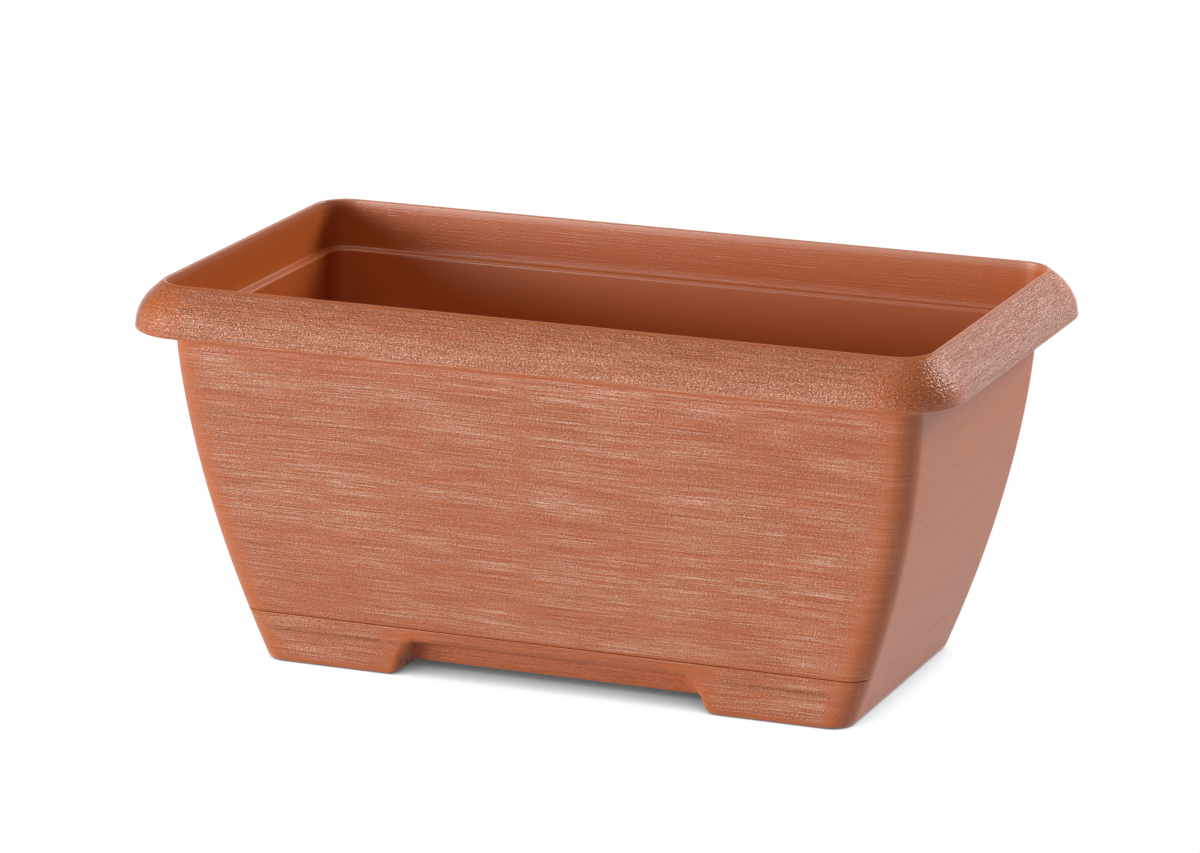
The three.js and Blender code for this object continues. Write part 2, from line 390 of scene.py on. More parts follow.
def new_skin(name, points, numbers, caps=()):
    """A mesh object from a stack of rings in millimetres, with its numbers on its points."""
    mesh = bpy.data.meshes.new(name)
    faces = grid_faces(*points.shape[:2]).tolist() + list(caps)
    mesh.from_pydata((points.reshape(-1, 3) * MM).tolist(), [], faces)
    for number, values in numbers.items():
        layer = mesh.attributes.new(number, "FLOAT", "POINT")
        layer.data.foreach_set("value", np.asarray(values, np.float32).ravel())
    piece = bpy.data.objects.new(name, mesh)
    bpy.context.scene.collection.objects.link(piece)
    return piece


def smooth_skin(piece):
    """Smooth shading with real edges kept sharp."""
    piece.data.validate()
    piece.data.shade_smooth()
    piece.data.set_sharp_from_angle(angle=math.radians(SHARP_ANGLE))
    print(piece.name, len(piece.data.polygons), "faces")


print("two rings of 4 points join in", len(grid_faces(2, 4)), "faces")

# %% [markdown]
# ## The box's rim
#
# The rim is one curve that rises from the lip and leans over to the crest, and its underside
# is that curve moved in by a wall, which leaves a hollow for the fingers, as on the real
# moulding. A bevelled ledge would be simpler, but the rim of the real planter has no edge
# between its upright face and its top.

# %% The rim's outer curve
LIP_EDGE = 0.8  # radius of the lip's lower edge
RIM_WIDTH = 14.9  # from the lip's face in to the mouth
RIM_TURN = 9  # how far under the crest the curve is pulled over
CREST_ROUND = 0.9

CREST = np.array([RIM_WIDTH - CREST_ROUND, HEIGHT - CREST_ROUND])
RIM_FOOT = np.array([0, LIP_Z + LIP_EDGE])
RIM_SHOULDER = np.array([0, HEIGHT - RIM_TURN])
TO_CREST = CREST - RIM_SHOULDER
CREST_START = (
    math.atan2(TO_CREST[1], TO_CREST[0])
    + math.asin(CREST_ROUND / np.linalg.norm(TO_CREST))
    + QUARTER
)


def on_crest(angle):
    """A point of the crest's half round, as inset and height."""
    return CREST + CREST_ROUND * np.array([math.cos(angle), math.sin(angle)])


RIM_TOP = on_crest(CREST_START)


def rim_curve(t):
    """A point of the rim's outer curve, as inset and height."""
    return (1 - t) ** 2 * RIM_FOOT + 2 * t * (1 - t) * RIM_SHOULDER + t**2 * RIM_TOP


print("the rim's curve runs from", RIM_FOOT, "to", RIM_TOP.round(2))

# %% The rim's underside, up to the band behind the mouth
LEDGE_DROP, BAND_DRAFT = 23.4, 1.4  # from the crest down to the ledge, and how far the band leans
BAND_INSET = RIM_WIDTH + BAND_DRAFT
LEDGE_Z = HEIGHT - LEDGE_DROP


def under_rim(t):
    """The point one wall in from the rim's outer curve."""
    slope = (1 - t) * (RIM_SHOULDER - RIM_FOOT) + t * (RIM_TOP - RIM_SHOULDER)
    slope = slope / np.linalg.norm(slope)
    return rim_curve(t) + WALL * np.array([slope[1], -slope[0]])


def band_back(z):
    """Back of the band that stands behind the mouth."""
    return RIM_WIDTH + BAND_DRAFT * (HEIGHT - z) / LEDGE_DROP - WALL


ROOF = next(t for t in np.linspace(0, 1, 2001) if under_rim(t)[0] >= band_back(under_rim(t)[1]))
print("rim's underside meets the band at", under_rim(ROOF).round(2))

# %% [markdown]
# ## The box's section
#
# The section of the box runs from its underside up the outer wall, over the rim and down
# inside to the floor. It could be one long list of insets and heights, but it is easier to
# follow one stretch at a time: each of the next cells adds the rings of one stretch.

# %% A section, and the foot that nests in the saucer
NEST_INSET = WALL + FIT_GAP
RECESS_ROUND, RECESS_CEILING, CEILING_ROUND = 6, 16.6, 4  # of the saucer's recess
UNDER_Z = RECESS_CEILING + NEST_INSET
SPLIT_Z = SAUCER_HEIGHT + FIT_GAP


class Section:
    """The rings of a skin from one end to the other, with the coat on each."""

    def __init__(self):
        self.rings, self.coats = [], []

    def add(self, ring, its_coat=coat()):
        """Adds the next ring, plain unless a coat is given."""
        self.rings.append(ring)
        self.coats.append(its_coat)


def arc_steps(count):
    """Angles of a quarter turn."""
    return steps(count) * QUARTER


box_section = Section()
reach, drop = drawn_in(RECESS_ROUND, NEST_INSET), drawn_in(CEILING_ROUND, NEST_INSET)
for turn in arc_steps(5)[::-1]:
    inset = NEST_INSET + reach * (1 - math.cos(turn))
    box_section.add(wall_ring(inset, UNDER_Z + drop * (1 - math.sin(turn))))
box_section.add(wall_ring(NEST_INSET, SPLIT_Z))
print("the foot of the box takes", len(box_section.rings), "rings")

# %% The outer wall
WALL_RINGS = 166
SPLIT_ROUND = 0.35  # radius of the edges that meet at the split line
SPLIT_FADE, STEP_FADE = 0.3, 1.5  # how far from the wall's ends its grain fades
JOG_HEIGHT = 3.6  # of the step in the wall, behind the rim

for turn in arc_steps(2)[:-1]:
    inset = SPLIT_ROUND * (1 - math.sin(turn))
    box_section.add(wall_ring(inset, SPLIT_Z + SPLIT_ROUND * (1 - math.cos(turn))))
wall_start, jog_z = SPLIT_Z + SPLIT_ROUND, LEDGE_Z - WALL - JOG_HEIGHT / 2
for z in wall_start + (jog_z - wall_start) * steps(WALL_RINGS):
    fade = float(smooth(0, SPLIT_FADE, z - wall_start) * smooth(0, STEP_FADE, jog_z - z))
    box_section.add(wall_ring(0, z), coat(wall=fade, rub_and_sheen=fade))
print("wall rings lie", round((jog_z - wall_start) / WALL_RINGS, 2), "mm apart")

# %% The step behind the rim, and the rim's hollow
for share in steps(4)[1:]:
    wall = end_inset(jog_z)
    inset = wall + (band_back(jog_z + JOG_HEIGHT) - wall) * float(smooth(0, 1, share))
    box_section.add(rim_ring(inset, jog_z + JOG_HEIGHT * share))
for t in ROOF * (1 - steps(10)[:-1]):
    box_section.add(rim_ring(*under_rim(t)))
box_section.add(rim_ring(WALL, LIP_Z + LIP_EDGE))
inner_edge = LIP_EDGE / 2
for turn in arc_steps(3):
    inset = WALL - inner_edge * (1 - math.cos(turn))
    box_section.add(rim_ring(inset, LIP_Z + inner_edge * (1 - math.sin(turn))))
print("the section is in the hollow of the rim after", len(box_section.rings), "rings")

# %% [markdown]
# ### How the rim is painted paler
#
# The rim's upright face is painted as pale as the walls, partly rub and partly a painted
# reflection of the white floor, and the part that leans over to the crest keeps more of its
# colour. One coat for the whole rim would lose that, so the coat changes with the place on
# the curve.

# %% Lip, rim and crest
RIM_RINGS = 38
FADE_AT_LIP, FADE_AT_CREST = 0.05, 0.06  # of the curve's length
# The lip's rounded lower edge is painted pale, rub and a painted highlight; the crest is painted paler
# as a painted highlight.
LIP_COAT, CREST_COAT = coat(rub_and_sheen=0.7), coat(painted_highlight=0.6)


def rim_coat(t):
    """The rim's upright side is painted pale, rub and painted reflection, and it keeps its colour
    towards the crest.
    """
    grain = float(smooth(0, FADE_AT_LIP, t) * smooth(0, FADE_AT_CREST, 1 - t))
    fade = float(smooth(0, FADE_AT_CREST, 1 - t) * kept(0.55, smooth(0.62, 0.3, t)))
    return coat(rim=grain, rub_and_sheen=fade * kept(0.7, grain))


for turn in arc_steps(4)[:-1]:
    inset = LIP_EDGE * (1 - math.sin(turn))
    box_section.add(rim_ring(inset, LIP_Z + LIP_EDGE * (1 - math.cos(turn))), LIP_COAT)
for t in steps(RIM_RINGS):
    box_section.add(rim_ring(*rim_curve(t)), rim_coat(t))
for turn in CREST_START * (1 - steps(7)[1:]):
    box_section.add(rim_ring(*on_crest(turn)), CREST_COAT)
print("rub on the rim from lip to crest:", [round(rim_coat(t)[2], 2) for t in steps(4)])

# %% [markdown]
# ### Inside the mouth
#
# A band runs down from the mouth to a ledge, where the wall steps in. On the real planter
# light picks out a soft line where they meet, so that corner is a small fillet, not an edge.
# The inside was hardly brushed: only the faintest strokes show there, and the band's top and
# the ledge are painted paler as painted highlights.

# %% Band and ledge
LEDGE_FILLET, LEDGE_NOSE = 1.1, 1.2  # radii of the ledge's inner corner and of its outer edge
# A faint painted highlight along the ledge.
LEDGE_COAT = coat(painted_highlight=0.08)


def band_coat(share):
    """The band inside the mouth is painted paler along its top, a painted highlight."""
    return coat(faint=0.12, painted_highlight=0.1 * float(smooth(0.5, 0, share)))


band_drop = LEDGE_Z + LEDGE_FILLET - HEIGHT + CREST_ROUND
for share in steps(6)[1:]:
    inset = RIM_WIDTH + (BAND_INSET - RIM_WIDTH) * share
    box_section.add(rim_ring(inset, HEIGHT - CREST_ROUND + band_drop * share), band_coat(share))
for turn in arc_steps(4)[1:]:
    inset = BAND_INSET + LEDGE_FILLET * (1 - math.cos(turn))
    box_section.add(rim_ring(inset, LEDGE_Z + LEDGE_FILLET * (1 - math.sin(turn))), LEDGE_COAT)
for turn in arc_steps(5):
    inset = WALL - LEDGE_NOSE * (1 - math.sin(turn))
    box_section.add(wall_ring(inset, LEDGE_Z - LEDGE_NOSE * (1 - math.cos(turn))), LEDGE_COAT)
print("the ledge lies", LEDGE_DROP, "mm under the crest")

# %% The inner wall, down to the floor
FLOOR_Z, FLOOR_FILLET = UNDER_Z + WALL, 3
SATIN = coat(faint=0.05)

inner_foot, step_z, inner_top = NEST_INSET + WALL, SPLIT_Z + WALL, LEDGE_Z - LEDGE_NOSE - 0.4
for z in inner_top + (step_z + inner_foot - inner_top) * steps(16):
    box_section.add(wall_ring(WALL, z), SATIN)
box_section.add(wall_ring(inner_foot, step_z + WALL))
for turn in arc_steps(5):
    inset = inner_foot + FLOOR_FILLET * (1 - math.cos(turn))
    box_section.add(wall_ring(inset, FLOOR_Z + FLOOR_FILLET * (1 - math.sin(turn))))
print("the floor lies", FLOOR_Z, "mm up, and the section has", len(box_section.rings), "rings")

# %% Cut the grain of the box
box_plan = outline(SHOULDER, SHOULDER, BODY_CORNER)
box_run = run_of(box_plan, CORNER_STEPS // 2)
box_corners = np.zeros(len(box_plan), bool)
start = 0
for side in range(4):
    box_corners[start : start + CORNER_STEPS + 1] = True
    start += CORNER_STEPS + (FACE_STEPS, END_STEPS)[side % 2]

box_away = away_from(box_run, box_corners)
box_points, box_numbers = brushed(np.array(box_section.rings), box_run, box_away, box_section.coats)
print("box:", box_points.shape[0], "rings,", box_points.shape[0] * box_points.shape[1], "points")

# %% [markdown]
# ## Floor, drain holes and legs
#
# The floor is pierced by drain holes and carries four crossed ribs, on which the box stands
# in its saucer. A plain cap won't do, and cutting the holes with booleans would disturb the
# dense skin. So the outlines of the holes and the legs are drawn as closed loops, and
# Blender fills the flat area between them and the skin's last ring.

# %% Where the holes and the legs are
LEG_END, LEG_SIDE = 30, 28  # from the inside of the walls to the middle of a leg
LEG_SPAN, LEG_RIB = 16, 2.4
DRAIN_DIAMETER, DRAIN_COLUMNS = 8, 4
LEG_X = RIM_LENGTH / 2 - end_inset(WALL) - WALL - LEG_END
LEG_Y = RIM_DEPTH / 2 - face_inset(WALL) - WALL - LEG_SIDE


def hole_centres():
    """Drain holes in two rows between the legs."""
    pitch = 2 * LEG_X / DRAIN_COLUMNS
    return [
        ((column + 0.5) * pitch - LEG_X, y)
        for y in (-LEG_Y / 2, LEG_Y / 2)
        for column in range(DRAIN_COLUMNS)
    ]


def cross_outline(x, y):
    """Two crossed ribs in plan."""
    a, b = LEG_SPAN / 2, LEG_RIB / 2
    corners = [(a, -b), (a, b), (b, b), (b, a), (-b, a), (-b, b)]
    corners += [(-px, -py) for px, py in corners]
    return [(x + px, y + py) for px, py in corners]


print("legs at +-", round(LEG_X, 1), "and +-", round(LEG_Y, 1), "with", len(hole_centres()), "holes")


# %% Loops, and the walls between them
def loop(bm, outline_points, z):
    """A closed loop of edges."""
    points = [bm.verts.new((x * MM, y * MM, z * MM)) for x, y in outline_points]
    edges = [bm.edges.new((points[i - 1], points[i])) for i in range(len(points))]
    return points, edges


def bridge(bm, low, high):
    """Walls between two loops of the same length."""
    for i in range(len(low)):
        bm.faces.new((low[i - 1], low[i], high[i], high[i - 1]))


def ring_edges(bm, start, size):
    """The edges of one ring of the skin."""
    bm.verts.ensure_lookup_table()
    return [
        bm.edges.get((bm.verts[start + i], bm.verts[start + (i + 1) % size]))
        for i in range(size)
    ]


def open_skin(piece):
    """A skin's mesh, ready to be worked on."""
    bm = bmesh.new()
    bm.from_mesh(piece.data)
    return bm


def put_back(bm, piece):
    """Turns all faces outwards and stores the mesh in its piece."""
    bmesh.ops.recalc_face_normals(bm, faces=bm.faces)
    bm.to_mesh(piece.data)
    bm.free()


box = new_skin("flared_box", box_points, box_numbers)
print("the open skin of the box has", len(box.data.polygons), "faces")

# %% Close the box
HOLE_SIDES = 32
LEG_FOOT_Z = WALL + FIT_GAP  # the legs stop just above the saucer's floor


def close_box(piece, ring_count, size):
    """Fills the underside and the floor round the holes and the legs."""
    bm = open_skin(piece)
    under, floor = ring_edges(bm, 0, size), ring_edges(bm, (ring_count - 1) * size, size)
    circle = [(math.cos(a), math.sin(a)) for a in steps(HOLE_SIDES)[:-1] * 4 * QUARTER]
    radius = DRAIN_DIAMETER / 2
    for x, y in hole_centres():
        hole = [(x + radius * c, y + radius * s) for c, s in circle]
        low, low_edges = loop(bm, hole, UNDER_Z)
        high, high_edges = loop(bm, hole, FLOOR_Z)
        bridge(bm, low, high)
        under += low_edges
        floor += high_edges
    for x in (-LEG_X, LEG_X):
        for y in (-LEG_Y, LEG_Y):
            root, root_edges = loop(bm, cross_outline(x, y), UNDER_Z)
            foot, foot_edges = loop(bm, cross_outline(x, y), LEG_FOOT_Z)
            bridge(bm, foot, root)
            under += root_edges
            bmesh.ops.triangle_fill(bm, use_beauty=True, edges=foot_edges)
    bmesh.ops.triangle_fill(bm, use_beauty=True, edges=under)
    bmesh.ops.triangle_fill(bm, use_beauty=True, edges=floor)
    put_back(bm, piece)


close_box(box, *box_points.shape[:2])
smooth_skin(box)

# %% [markdown]
# ## The saucer's recess
#
# The saucer's wall continues the box's, but its outline is notched at the front and the
# back, between the two feet. A boolean cut would leave sharp corners and a torn grid. So the
# notch is part of every ring: at the ground it is two corner radii deep, it curls out again
# towards its ceiling, and each ring asks how deep the notch still is at its height.

# %% How deep the notch is
RECESS_HALF, RECESS_LEAN = 74.5, 0.37  # half its width at the ground, and the loss in a millimetre up


def curl_reach(inset):
    """Plan radius of the notch's outer corner."""
    return drawn_in(RECESS_ROUND, inset)


def curl_round(inset):
    """Height of the upper curl."""
    return drawn_in(CEILING_ROUND, inset)


def recess_share(z, inset):
    """How far the notch has sunk in, out of its full depth."""
    ceiling = RECESS_CEILING + inset
    share = curl_reach(inset) / (2 * RECESS_ROUND)
    if z >= ceiling:
        rise = min(1, (z - ceiling) / curl_round(inset))
        return share * (1 - math.sqrt(1 - (1 - rise) ** 2))
    fall = min(1, (ceiling - z) / (CEILING_ROUND + inset))
    return share + (1 - share) * math.sqrt(1 - (1 - fall) ** 2)


def curl_levels(inset):
    """Heights at which the notch's curl turns evenly."""
    ceiling = RECESS_CEILING + inset
    turn = arc_steps(8)
    lower = ceiling - (CEILING_ROUND + inset) * np.cos(turn)
    upper = ceiling + curl_round(inset) * np.sin(turn[1:])
    return list(lower) + list(upper)


print("share of the notch at 4 heights:", [round(recess_share(z, 0), 2) for z in (0, 14, 17, 21)])

# %% The notch in plan
SIDE_STEPS = 8


def recess_side(z, inset):
    """One side of the notch in plan, from the middle outwards: place and depth."""
    half = RECESS_HALF - RECESS_LEAN * z
    outer = curl_reach(inset)
    inner = 2 * RECESS_ROUND - outer
    turn = arc_steps(SIDE_STEPS)
    first = np.stack([half + RECESS_ROUND - outer * np.sin(turn), outer * (1 - np.cos(turn))], 1)
    turn = turn[1:]
    second = np.stack([half - RECESS_ROUND + inner * np.cos(turn), outer + inner * np.sin(turn)], 1)
    return np.concatenate([first, second])[::-1]


print("at the ground the notch opens from", recess_side(0, 0)[0], "to", recess_side(0, 0)[-1].round(1))

# %% [markdown]
# ## The saucer's rings
#
# The saucer stands on a long foot at each end, and its middle is raised a little. Each ring
# is drawn for one quarter and mirrored twice. Its points keep to the same places along the
# planter from ring to ring, so that the raised middle can be made by lifting the low rings.

# %% The raised middle
GROUND_GAP = 4.8  # under the raised middle
SOLE_START, SOLE_RISE = 81.5, 7  # where a foot begins, and over what length its sole curls up


def sole_at(x):
    """Nought under a foot, the ground gap in the middle."""
    rise = np.clip((SOLE_START - np.abs(x)) / SOLE_RISE, 0, 1)
    return GROUND_GAP * (1 - np.sqrt(1 - rise * rise))


print("the sole's height at x = 70, 76, 80 and 90:", sole_at(np.array([70, 76, 80, 90])).round(2))

# %% A ring of the saucer
RECESS_STEPS, FOOT_STEPS, MIDDLE_STEPS = 44, 16, 2


def chain(points, counts):
    """A polyline with its segments divided."""
    pieces = [points[:1]]
    for start, end, count in zip(points[:-1], points[1:], counts):
        pieces.append(start + (end - start) * steps(count)[1:, None])
    return np.concatenate(pieces)


def saucer_quarter(inset, z):
    """The front right quarter of a ring in plan, from the middle of the front."""
    radius = drawn_in(BODY_CORNER, inset)
    x = RIM_LENGTH / 2 - end_inset(z) - inset - radius
    y = RIM_DEPTH / 2 - face_inset(z) - inset - radius
    turned = corner(x, -y, radius, 3 * QUARTER)
    face_y = turned[0][1]
    side = recess_side(z, inset)
    side = np.column_stack([side[:, 0], face_y + side[:, 1] * recess_share(z, inset)])
    foot = np.array([side[-1], [SOLE_START, face_y], turned[0]])
    return np.concatenate([
        chain(np.array([[0, side[0][1]], side[0]]), [RECESS_STEPS]),
        side[1:],
        chain(foot, [MIDDLE_STEPS, FOOT_STEPS])[1:],
        turned[1:],
        between(turned[-1], np.array([turned[-1][0], 0]), END_STEPS // 2),
    ])


def saucer_ring(inset, z):
    """A ring of the saucer, its height counted from the sole."""
    front = saucer_quarter(inset, z)
    middle = np.array([[front[-1][0], 0.0]])
    half = np.concatenate([front, middle, (front * [1, -1])[::-1]])
    plan = np.concatenate([half, (half * [-1, 1])[::-1][1:-1]])
    even_z = RECESS_CEILING - CEILING_ROUND  # above this the rings are level
    return np.column_stack([plan, z + sole_at(plan[:, 0]) * max(0, 1 - z / even_z)])


print("points in a ring of the saucer:", len(saucer_ring(0, 0)))

# %% The saucer's outside
FOOT_EDGE = 2  # radius of the lower edge
RING_RISE = 0.7  # between its rings
FOOT_FADE = 1.2  # how far above the lower edge its grain fades

saucer_section = Section()
for turn in arc_steps(5):
    z = FOOT_EDGE * (1 - math.cos(turn))
    saucer_section.add(saucer_ring(FOOT_EDGE * (1 - math.sin(turn)), z))
levels = curl_levels(0)
wall_end = SAUCER_HEIGHT - SPLIT_ROUND
lower = list(np.arange(FOOT_EDGE + RING_RISE, levels[0] - 0.3, RING_RISE))
upper = list(np.arange(levels[-1] + RING_RISE, wall_end - 0.3, RING_RISE)) + [wall_end]
for z in lower + levels + upper:
    fade = float(smooth(0, FOOT_FADE, z - FOOT_EDGE) * smooth(0, SPLIT_FADE, wall_end - z))
    saucer_section.add(saucer_ring(0, z), coat(wall=fade, rub_and_sheen=fade))
print("outside of the saucer:", len(saucer_section.rings), "rings")

# %% The saucer's edge and its inside
SAUCER_FILLET = 1.5

for turn in arc_steps(3)[1:]:
    z = wall_end + SPLIT_ROUND * math.sin(turn)
    saucer_section.add(saucer_ring(SPLIT_ROUND * (1 - math.cos(turn)), z))
for z in [SAUCER_HEIGHT] + curl_levels(WALL)[::-1]:
    saucer_section.add(saucer_ring(WALL, z))
for turn in arc_steps(4):
    inset = WALL + SAUCER_FILLET * (1 - math.cos(turn))
    saucer_section.add(saucer_ring(inset, WALL + SAUCER_FILLET * (1 - math.sin(turn))))
saucer_stack = np.array(saucer_section.rings)
ring_count, ring_size = saucer_stack.shape[:2]
print("saucer:", ring_count, "rings of", ring_size, "points")

# %% [markdown]
# ### Closing the saucer
#
# The sole is not flat, since its middle is raised, so Blender's fill could fold there. But
# the back of a ring mirrors its front point for point, so a cap of straight strips from the
# front edge to the back edge follows the raised middle.

# %% Strips from the front edge to the back edge
SAUCER_HALF = RECESS_STEPS + 2 * SIDE_STEPS + MIDDLE_STEPS + FOOT_STEPS + CORNER_STEPS + END_STEPS // 2
CORNER_LAST = SAUCER_HALF - END_STEPS // 2


def level_cap(start, half, corner_end):
    """Faces that close a ring of the saucer. Its front mirrors its back, and its right its left."""
    size = 4 * half
    faces = []
    for i in range(corner_end - 1):
        faces.append([i, i + 1, 2 * half - i - 1, 2 * half - i])
    faces.append(list(range(corner_end - 1, 2 * half - corner_end + 2)))
    faces += [[(size - i) % size for i in face[::-1]] for face in faces]
    return [[start + i for i in face] for face in faces]


caps = level_cap(0, SAUCER_HALF, CORNER_LAST)
caps += level_cap((ring_count - 1) * ring_size, SAUCER_HALF, CORNER_LAST)
print("the sole and the floor of the saucer take", len(caps), "faces")

# %% Cut the grain of the saucer and make it
NOTCH_FIRST, NOTCH_LAST = RECESS_STEPS, RECESS_STEPS + 2 * SIDE_STEPS
PALE_IN_RECESS_SHADE = 0.05  # the recess keeps this much of the pale streaks: painted shade, so it shows darker and plainer

index = np.arange(ring_size)
index = np.minimum(index, ring_size - index)  # the left mirrors the right
index = np.minimum(index, 2 * SAUCER_HALF - index)  # and the back the front
rounded = (index >= NOTCH_FIRST) & (index <= NOTCH_LAST)
rounded |= (index >= CORNER_LAST - CORNER_STEPS) & (index <= CORNER_LAST)
unshaded = np.where(index < NOTCH_LAST, PALE_IN_RECESS_SHADE, 1)

saucer_run = run_of(saucer_stack[0, :, :2], CORNER_LAST - CORNER_STEPS // 2)
saucer_away = away_from(saucer_run, rounded)
saucer_points, saucer_numbers = brushed(
    saucer_stack, saucer_run, saucer_away, saucer_section.coats, unshaded
)
saucer = new_skin("footed_saucer", saucer_points, saucer_numbers, caps)
put_back(open_skin(saucer), saucer)
smooth_skin(saucer)

# %% [markdown]
# ## The finish
#
# The plastic is one terracotta colour right through. Its pale streaks are partly where it was
# rubbed and partly painted sheen, the white glints of the ridges, and the grooves between are
# darkened with painted shade. A painted image would suit one view only. So the colour is mixed
# from noise that the numbers on the points lay along the wall: the streaks turn the corners with
# the strokes, and can be finer than the mesh. Materials are made of nodes, so a few helpers first
# make sums of nodes read like sums of numbers.

# %% Sums and products of nodes
finish = bpy.data.materials.new("terracotta_plastic")
finish.use_nodes = True
nodes, links = finish.node_tree.nodes, finish.node_tree.links
shader = nodes["Principled BSDF"]


def feed(source, made, socket):
    """Connects an output, or a node's first output, to an input."""
    output = source.outputs[0] if hasattr(source, "outputs") else source
    links.new(output, made.inputs[socket])
    return made


def maths(operation, *values):
    """A Math node over numbers and other nodes."""
    made = nodes.new("ShaderNodeMath")
    made.operation = operation
    for place, value in enumerate(values):
        if isinstance(value, (int, float)):
            made.inputs[place].default_value = value
        else:
            feed(value, made, place)
    return made


def times(*values):
    """The product of numbers and nodes."""
    product = values[0]
    for value in values[1:]:
        product = maths("MULTIPLY", product, value)
    return product


def plus(*values):
    """Their sum."""
    total = values[0]
    for value in values[1:]:
        total = maths("ADD", total, value)
    return total


print("the shader mixes", len(shader.inputs), "inputs")


# %% Steps, blends and the numbers on the points
def number_of(name):
    """One of the numbers kept on the points."""
    made = nodes.new("ShaderNodeAttribute")
    made.attribute_name = name
    return made.outputs["Fac"]


def ramp(value, low, high):
    """0 at low, 1 at high, with a soft step between."""
    made = nodes.new("ShaderNodeMapRange")
    made.interpolation_type = "SMOOTHSTEP"
    feed(value, made, "Value")
    made.inputs["From Min"].default_value = low
    made.inputs["From Max"].default_value = high
    return made


def mix(amount, low, high):
    """A blend of two colours."""
    made = nodes.new("ShaderNodeMix")
    made.data_type = "RGBA"
    feed(amount, made, 0)
    for place, value in ((6, low), (7, high)):
        if isinstance(value, tuple):
            made.inputs[place].default_value = (*value, 1)
        else:
            links.new(value, made.inputs[place])
    return made.outputs[2]


brush, rub_and_sheen, hammer = number_of("brushed"), number_of("rubbed_and_sheen"), number_of("hammered")
print("the finish reads", len(box_numbers), "numbers from the points")


# %% Noise laid along the wall
def laid_noise(long, thin, detail=0.0):
    """Noise in cells long by thin millimetres, laid along the wall."""
    place = nodes.new("ShaderNodeCombineXYZ")
    feed(maths("DIVIDE", number_of("run"), long), place, "X")
    feed(maths("DIVIDE", number_of("along"), thin), place, "Y")
    made = nodes.new("ShaderNodeTexNoise")
    made.noise_dimensions = "2D"
    made.inputs["Scale"].default_value = 1
    made.inputs["Detail"].default_value = detail
    feed(place, made, "Vector")
    return made


line, thread, hair = laid_noise(60, 0.62), laid_noise(36, 0.42), laid_noise(14, 0.38)
mottle = plus(0.7, times(ramp(laid_noise(4, 0.75, 1), 0.2, 0.8), 0.6))  # breaks the streaks up
speckle = maths("SUBTRACT", laid_noise(0.95, 0.5), 0.5)
cloud = ramp(laid_noise(90, 11, 1), 0.30, 0.70)  # where the pale streaks, rub and painted sheen, are stronger
groove = ramp(laid_noise(24, 0.75), 0.47, 0.33)
print("the finish has", len(nodes), "nodes so far")

# %% [markdown]
# ### Pale streaks with painted sheen, and grooves in painted shade
#
# Three widths of streak lie over each other: long lines, shorter threads and short hairs.
# Only the high parts of the noise count, through a steep ramp, because the real streaks are
# thin and sharp with plain colour between them. An even veil could stand for the finest
# ones, but it would turn the whole planter pink. The streaks are rub and painted sheen
# together: the pale stands in part for white glints on the ridges.

# %% How much has paled
STREAK_RAMP, HAIR_RAMP = (0.55, 0.65), (0.55, 0.67)
# RIM_VEIL pales the whole hammered rim, as rub and painted sheen.
VEIL, RIM_VEIL = -0.12, 0.11  # below 0 on the walls, so that plain colour shows between streaks


def paled(noise, steepness, least, cloudy):
    """The streaks in a noise: the least that they pale, and how much more in a cloud."""
    return times(ramp(noise, *steepness), plus(least, times(cloud, cloudy)))


calm = plus(1, times(hammer, -0.5))  # the hammered rim is streaked half as much
streaks = plus(
    paled(line, STREAK_RAMP, 0.13, 0.08),
    paled(thread, STREAK_RAMP, 0.17, 0.10),
    paled(hair, HAIR_RAMP, 0.11, 0.07),
)
veil = plus(VEIL, times(cloud, 0.06), times(hammer, RIM_VEIL))
# The pale is rub and painted sheen: white glints of the ridges painted into the colour.
pale = times(plus(veil, times(streaks, calm)), mottle)
pale = times(plus(pale, times(speckle, plus(0.80, times(hammer, 0.4)))), rub_and_sheen)
# Painted highlights on the crest, the band's top and the ledge.
pale = plus(pale, times(number_of("painted_highlights"), 0.3))
print("the pale share takes", len(nodes), "nodes")

# %% A brushed terracotta plastic
TERRACOTTA = (0.500, 0.122, 0.027)
BLOOM_AND_SHEEN = (0.940, 0.700, 0.560)  # the pale streaks' colour, rubbed plastic and painted sheen, never seen pure
# Painted shade: the grooves between the streaks are darkened towards this colour.
GROOVE_SHADE = (0.340, 0.056, 0.009)
GROOVE_SHADE_RAMP, GROOVE_SHADE_DEPTH = (0.46, 0.35), 0.32  # the low parts of the noise, and how deep their painted shade is

# Painted shade in the grooves of the walls and of the rim, with some fine speckle.
groove_shading = times(plus(ramp(line, *GROOVE_SHADE_RAMP), ramp(thread, *GROOVE_SHADE_RAMP)), GROOVE_SHADE_DEPTH, calm)
groove_shading = times(plus(groove_shading, times(speckle, -0.6), times(groove, hammer, 0.22)), brush)
colour = mix(pale, mix(groove_shading, TERRACOTTA, GROOVE_SHADE), BLOOM_AND_SHEEN)
links.new(colour, shader.inputs["Base Color"])
print("from", GROOVE_SHADE, "over", TERRACOTTA, "to", BLOOM_AND_SHEEN)

# %% [markdown]
# ### Relief and gloss
#
# The mesh carries the broad strokes. The finest are narrower than the gaps between its
# rings, so they only tilt the normal, with the same noise as the colour: a pale streak is
# also the one that catches the light. The rim is glossier than the walls, and dented.

# %% The finest relief
DENT_SCALE = 1100  # cells in a metre
BUMP_DEPTH = 0.00022  # in metres
PLAIN_ROUGH, WORKED_ROUGH, RIM_GLOSS = 0.27, 0.15, -0.15

